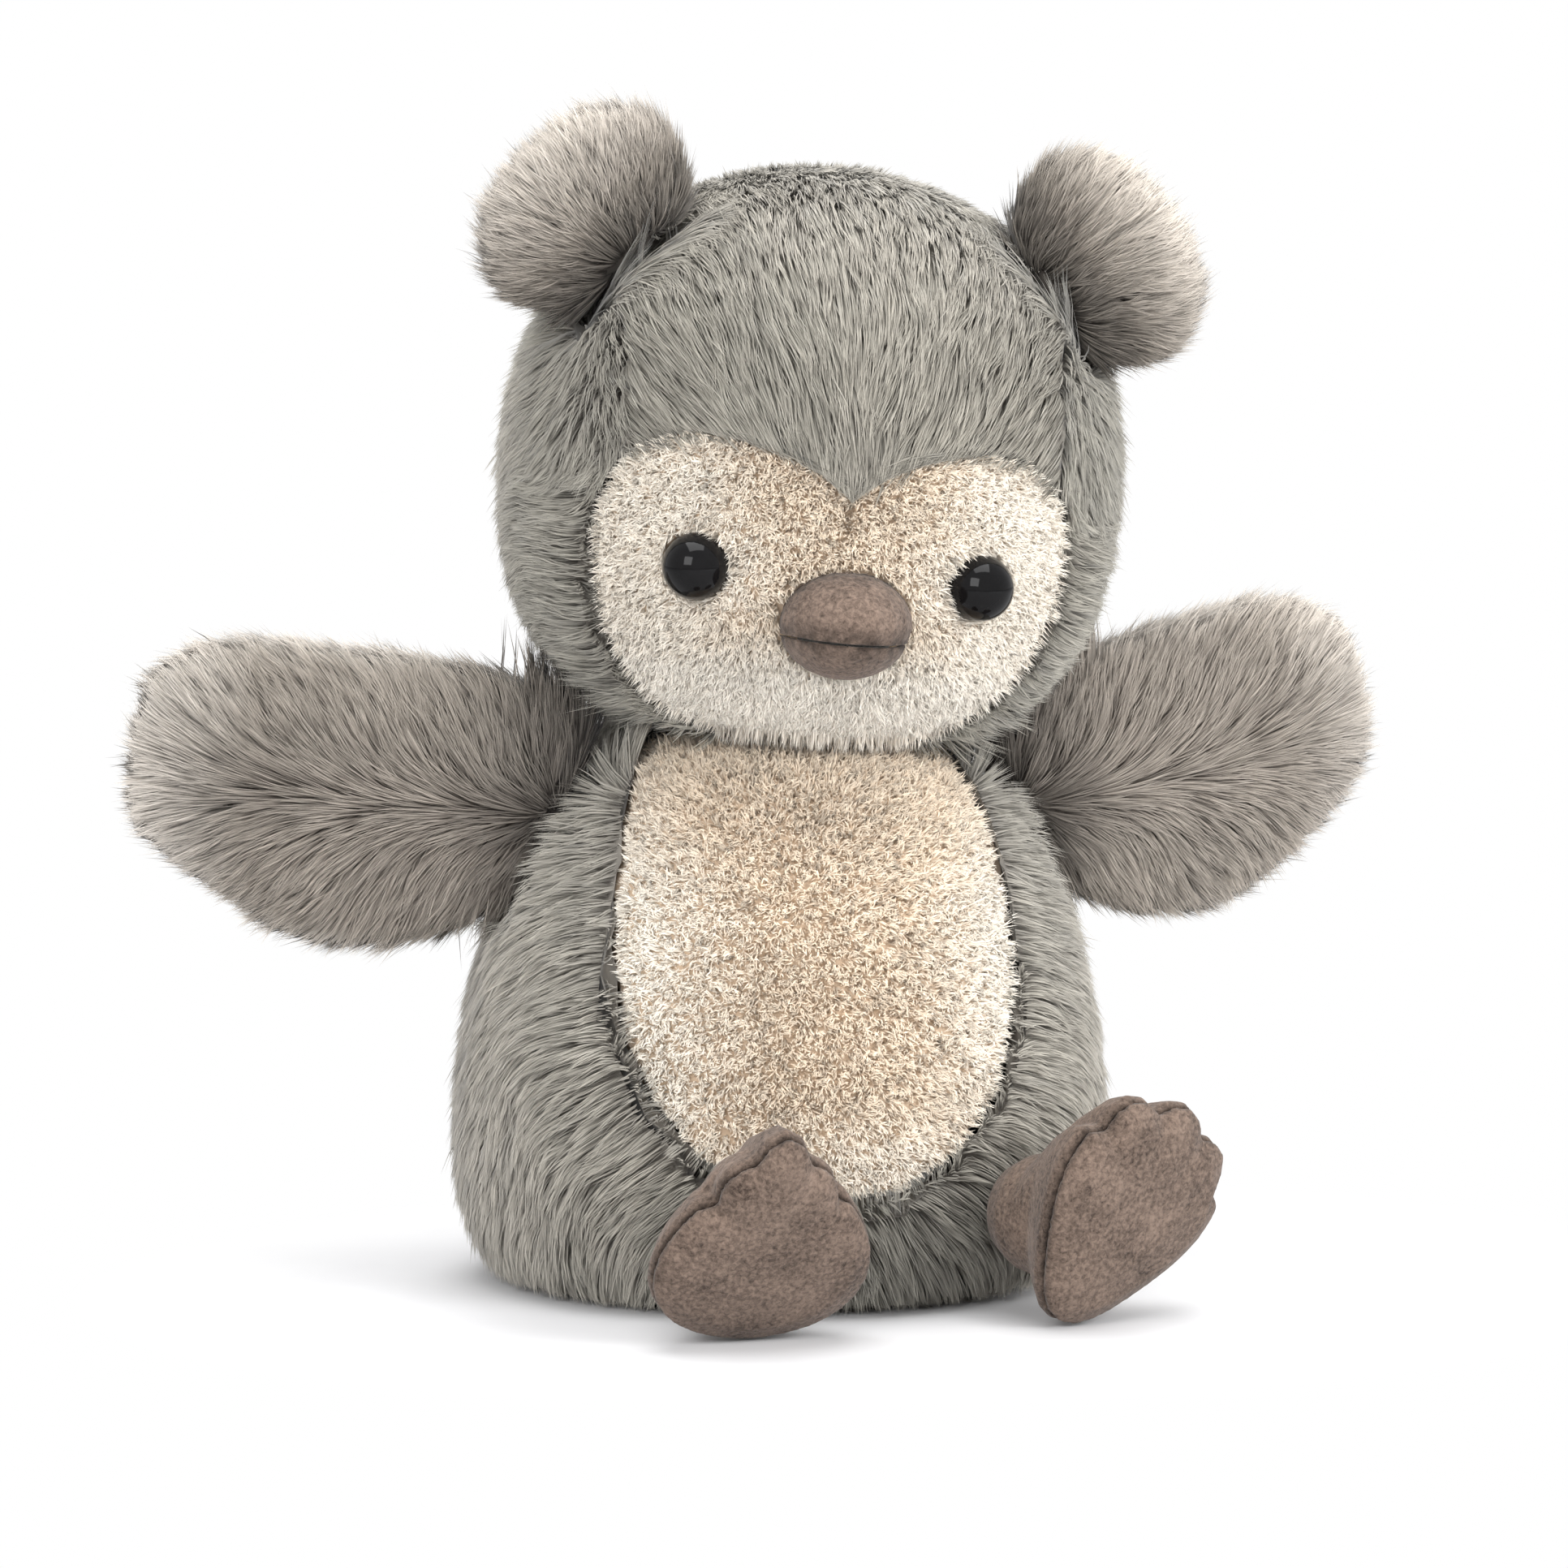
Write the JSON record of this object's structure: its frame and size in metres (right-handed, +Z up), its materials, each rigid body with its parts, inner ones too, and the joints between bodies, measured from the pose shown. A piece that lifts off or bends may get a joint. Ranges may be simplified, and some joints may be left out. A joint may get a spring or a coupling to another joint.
{
  "type": "plush owl",
  "caption": "Seated soft toy owl with a round head, heart-shaped face, ear tufts, spread wings and three-toed feet.",
  "frame": {"origin": "on the surface the owl sits on, under the middle of its round base", "axes": "+Z up, the owl faces -Y, its own left is +X"},
  "size_m": [0.2101, 0.1312, 0.1922],
  "materials": {
    "grey_plush": "long brushed pile, matt, with pale tips",
    "cream_plush": "short dense pile, matt, flecked",
    "brown_suedette": "flat suedette, matt",
    "stuffing": "loose white fibre",
    "black_eye": "high gloss",
    "washer_plastic": "plain moulded",
    "pellets": "cloth pouch full of plastic pellets"
  },
  "bodies": {
    "body": {"base_panel": "grey_plush", "body_panel_left": "grey_plush", "body_panel_right": "grey_plush", "body_stuffing": "stuffing", "pellet_pouch": "pellets", "tummy_panel": "cream_plush"},
    "head": {"beak_filling": "stuffing", "beak_lower": "brown_suedette", "beak_upper": "brown_suedette", "eye_left": "black_eye", "eye_right": "black_eye", "eye_washer_left": "washer_plastic", "eye_washer_right": "washer_plastic", "face_panel": "cream_plush", "head_gusset": "grey_plush", "head_side_left": "grey_plush", "head_side_right": "grey_plush", "head_stuffing": "stuffing"},
    "ear_left": {"ear_front_left": "grey_plush", "ear_back_left": "grey_plush"},
    "ear_right": {"ear_front_right": "grey_plush", "ear_back_right": "grey_plush"},
    "wing_left": {"wing_front_left": "grey_plush", "wing_back_left": "grey_plush", "wing_filling_left": "stuffing"},
    "wing_right": {"wing_front_right": "grey_plush", "wing_back_right": "grey_plush", "wing_filling_right": "stuffing"},
    "leg_left": {"foot_sole_left": "brown_suedette", "foot_upper_left": "brown_suedette", "foot_filling_left": "stuffing"},
    "leg_right": {"foot_sole_right": "brown_suedette", "foot_upper_right": "brown_suedette", "foot_filling_right": "stuffing"}
  },
  "joints": [
    {"name": "head_turn", "type": "hinge", "parent": "body", "child": "head", "pos_m": [0, 0, 0.0971], "axis": [0, 0, 1], "range_deg": [-25, 25], "stiffness_Nm_per_rad": 0.3},
    {"name": "ear_fold_left", "type": "hinge", "parent": "head", "child": "ear_left", "pos_m": [0.04366, -0.01771, 0.16373], "axis": [0.573, -0.025, -0.8192], "range_deg": [-6, 28], "stiffness_Nm_per_rad": 0.03},
    {"name": "ear_fold_right", "type": "hinge", "parent": "head", "child": "ear_right", "pos_m": [-0.02884, -0.01454, 0.17098], "axis": [0.7247, -0.0316, 0.6884], "range_deg": [-6, 28], "stiffness_Nm_per_rad": 0.03},
    {"name": "wing_swing_left", "type": "hinge", "parent": "body", "child": "wing_left", "pos_m": [0.04161, -0.00585, 0.0786], "axis": [0.4499, 0.2003, -0.8704], "range_deg": [-10, 45], "stiffness_Nm_per_rad": 0.08},
    {"name": "wing_swing_right", "type": "hinge", "parent": "body", "child": "wing_right", "pos_m": [-0.04161, -0.00585, 0.0786], "axis": [0.3861, -0.1719, 0.9063], "range_deg": [-10, 45], "stiffness_Nm_per_rad": 0.08},
    {"name": "leg_splay_left", "type": "hinge", "parent": "body", "child": "leg_left", "pos_m": [0.03502, -0.04773, 0.01638], "axis": [0, 0, 1], "range_deg": [-15, 15], "stiffness_Nm_per_rad": 0.1},
    {"name": "leg_splay_right", "type": "hinge", "parent": "body", "child": "leg_right", "pos_m": [-0.01709, -0.05494, 0.01573], "axis": [0, 0, -1], "range_deg": [-15, 15], "stiffness_Nm_per_rad": 0.1}
  ]
}
